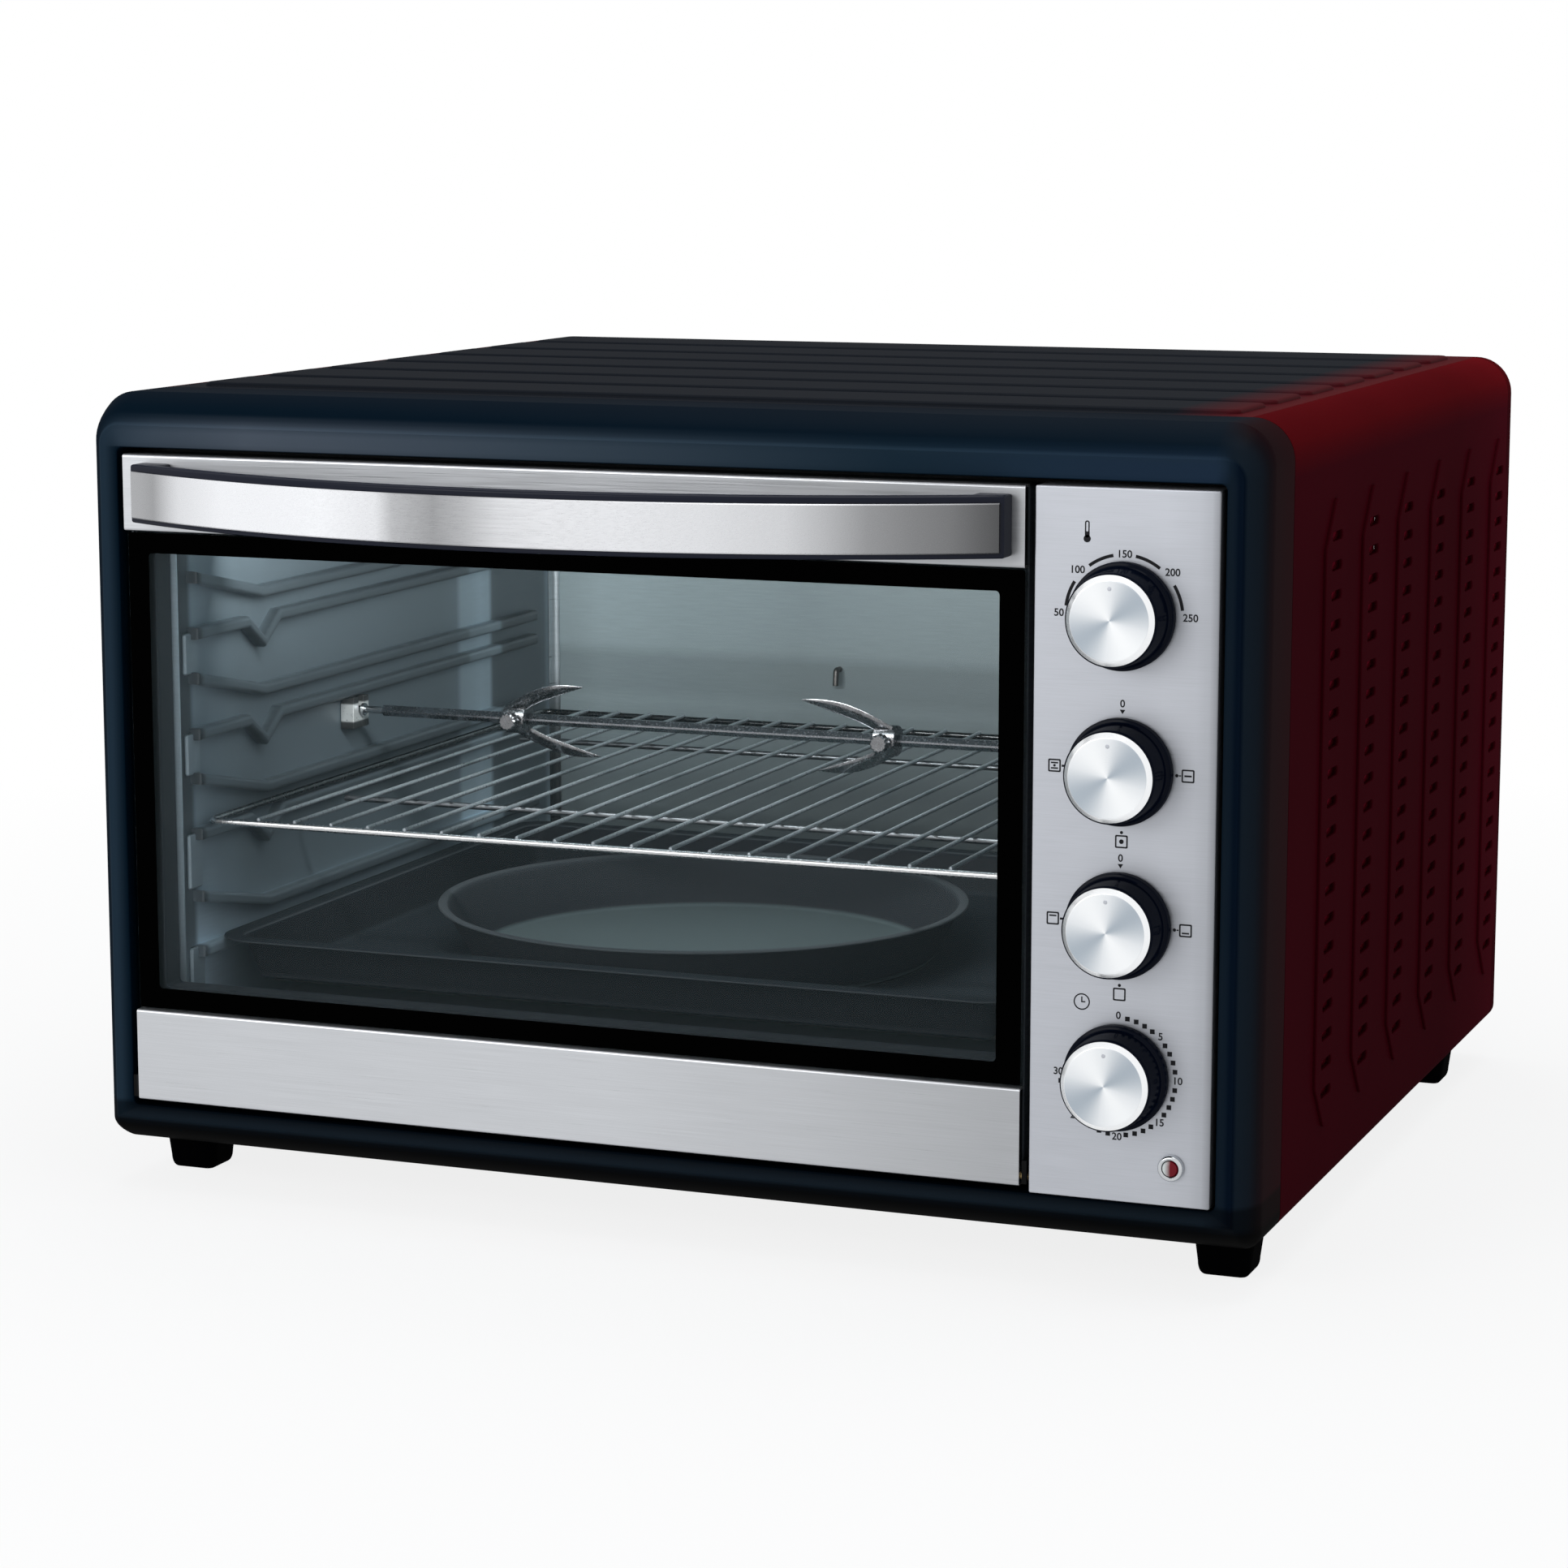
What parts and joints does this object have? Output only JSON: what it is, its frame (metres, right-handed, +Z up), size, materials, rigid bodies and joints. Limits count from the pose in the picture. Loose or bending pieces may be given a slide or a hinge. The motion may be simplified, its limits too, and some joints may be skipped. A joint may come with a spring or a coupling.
{
  "type": "electric rotisserie oven",
  "caption": "Countertop oven with a drop-down glass door, bowed handle, four control knobs, turning spit with forks, wire rack, baking tray and round pan.",
  "frame": {"origin": "middle of the whole part's footprint, on the surface that the feet stand on", "axes": "+X to the right seen from the front, +Y to the rear, +Z up; the door faces -Y"},
  "size_m": [0.603, 0.618, 0.404],
  "materials": {
    "frame_black": "satin moulded",
    "panel_red": "semi gloss",
    "top_black": "semi gloss",
    "plate_black": "semi gloss",
    "foot_rubber": "matt",
    "gland_black": "matt",
    "steel_brushed": "brushed from side to side",
    "cavity_steel": "satin",
    "heater_dark": "oxidised",
    "chrome_bright": "bright",
    "lens_red": "polished",
    "switch_plastic": "matt",
    "motor_case": "satin",
    "pin_brass": "satin",
    "glass_clear": "polished",
    "handle_dark": "semi gloss",
    "knob_dark": "gloss",
    "cap_spun": "spun in circles",
    "spindle_steel": "turned",
    "enamel_dark": "enamel"
  },
  "bodies": {
    "body": {"front_frame": "frame_black", "side_panel_left": "panel_red", "side_panel_right": "panel_red", "top_panel": "top_black", "rear_cover": "panel_red", "cord_gland": "gland_black", "base_plate": "plate_black", "foot_front_left": "foot_rubber", "foot_front_right": "foot_rubber", "foot_rear_left": "foot_rubber", "foot_rear_right": "foot_rubber", "front_plate": "plate_black", "cavity_left_wall": "cavity_steel", "cavity_right_wall": "cavity_steel", "cavity_ceiling": "cavity_steel", "cavity_floor": "cavity_steel", "cavity_back_wall": "cavity_steel", "heater_top_front": "heater_dark", "heater_top_rear": "heater_dark", "heater_bottom_front": "heater_dark", "heater_bottom_rear": "heater_dark", "control_panel": "steel_brushed", "indicator_bezel": "chrome_bright", "indicator_lens": "lens_red", "thermostat": "switch_plastic", "upper_switch": "switch_plastic", "lower_switch": "switch_plastic", "timer_mechanism": "switch_plastic", "hinge_pin_left": "pin_brass", "hinge_pin_right": "pin_brass", "spit_support": "chrome_bright", "spit_motor": "motor_case"},
    "door": {"door_frame": "plate_black", "door_top_rail": "steel_brushed", "door_bottom_rail": "steel_brushed", "door_glass": "glass_clear", "door_handle": "handle_dark", "handle_strip": "steel_brushed"},
    "temperature_knob_set": {"temperature_knob": "knob_dark", "temperature_cap": "cap_spun", "temperature_spindle": "spindle_steel"},
    "upper_selector_knob_set": {"upper_selector_knob": "knob_dark", "upper_selector_cap": "cap_spun", "upper_selector_spindle": "spindle_steel"},
    "lower_selector_knob_set": {"lower_selector_knob": "knob_dark", "lower_selector_cap": "cap_spun", "lower_selector_spindle": "spindle_steel"},
    "timer_knob_set": {"timer_knob": "knob_dark", "timer_cap": "cap_spun", "timer_spindle": "spindle_steel"},
    "spit": {"spit_rod": "chrome_bright", "fork_left": "chrome_bright", "fork_right": "chrome_bright", "fork_screw_left": "chrome_bright", "fork_screw_right": "chrome_bright"},
    "spit_drive": {"drive_socket": "chrome_bright"},
    "rack": {"wire_rack": "chrome_bright"},
    "tray": {"baking_tray": "enamel_dark", "round_pan": "enamel_dark"}
  },
  "joints": [
    {"name": "door_hinge", "type": "hinge", "parent": "body", "child": "door", "pos_m": [-0.0444, -0.23295, 0.051], "axis": [1, 0, 0], "range_deg": [0, 84]},
    {"name": "temperature_turn", "type": "hinge", "parent": "body", "child": "temperature_knob_set", "pos_m": [0.2357, -0.24725, 0.3154], "axis": [0, 1, 0], "range_deg": [-90, 90]},
    {"name": "upper_selector_turn", "type": "hinge", "parent": "body", "child": "upper_selector_knob_set", "pos_m": [0.2357, -0.24725, 0.24467], "axis": [0, 1, 0], "range_deg": [0, 270]},
    {"name": "lower_selector_turn", "type": "hinge", "parent": "body", "child": "lower_selector_knob_set", "pos_m": [0.2357, -0.24725, 0.17393], "axis": [0, 1, 0], "range_deg": [0, 270]},
    {"name": "timer_turn", "type": "hinge", "parent": "body", "child": "timer_knob_set", "pos_m": [0.2357, -0.24725, 0.1032], "axis": [0, 1, 0], "range_deg": [0, 270]},
    {"name": "spit_turn", "type": "hinge", "parent": "body", "child": "spit", "pos_m": [-0.04425, -0.03295, 0.219], "axis": [1, 0, 0], "continuous": true},
    {"name": "drive_turn", "type": "hinge", "parent": "body", "child": "spit_drive", "pos_m": [0.17, -0.03295, 0.219], "axis": [1, 0, 0], "continuous": true},
    {"name": "rack_slide", "type": "slide", "parent": "body", "child": "rack", "axis": [0, -1, 0], "range_m": [0, 0.18]},
    {"name": "tray_slide", "type": "slide", "parent": "body", "child": "tray", "axis": [0, -1, 0], "range_m": [0, 0.12]}
  ],
  "couplings": [
    {"joint": "drive_turn", "follows": "spit_turn", "ratio": 1},
    {"joint": "rack_slide", "follows": "door_hinge", "m_per_rad": 0.12},
    {"joint": "tray_slide", "follows": "door_hinge", "m_per_rad": 0.08}
  ]
}
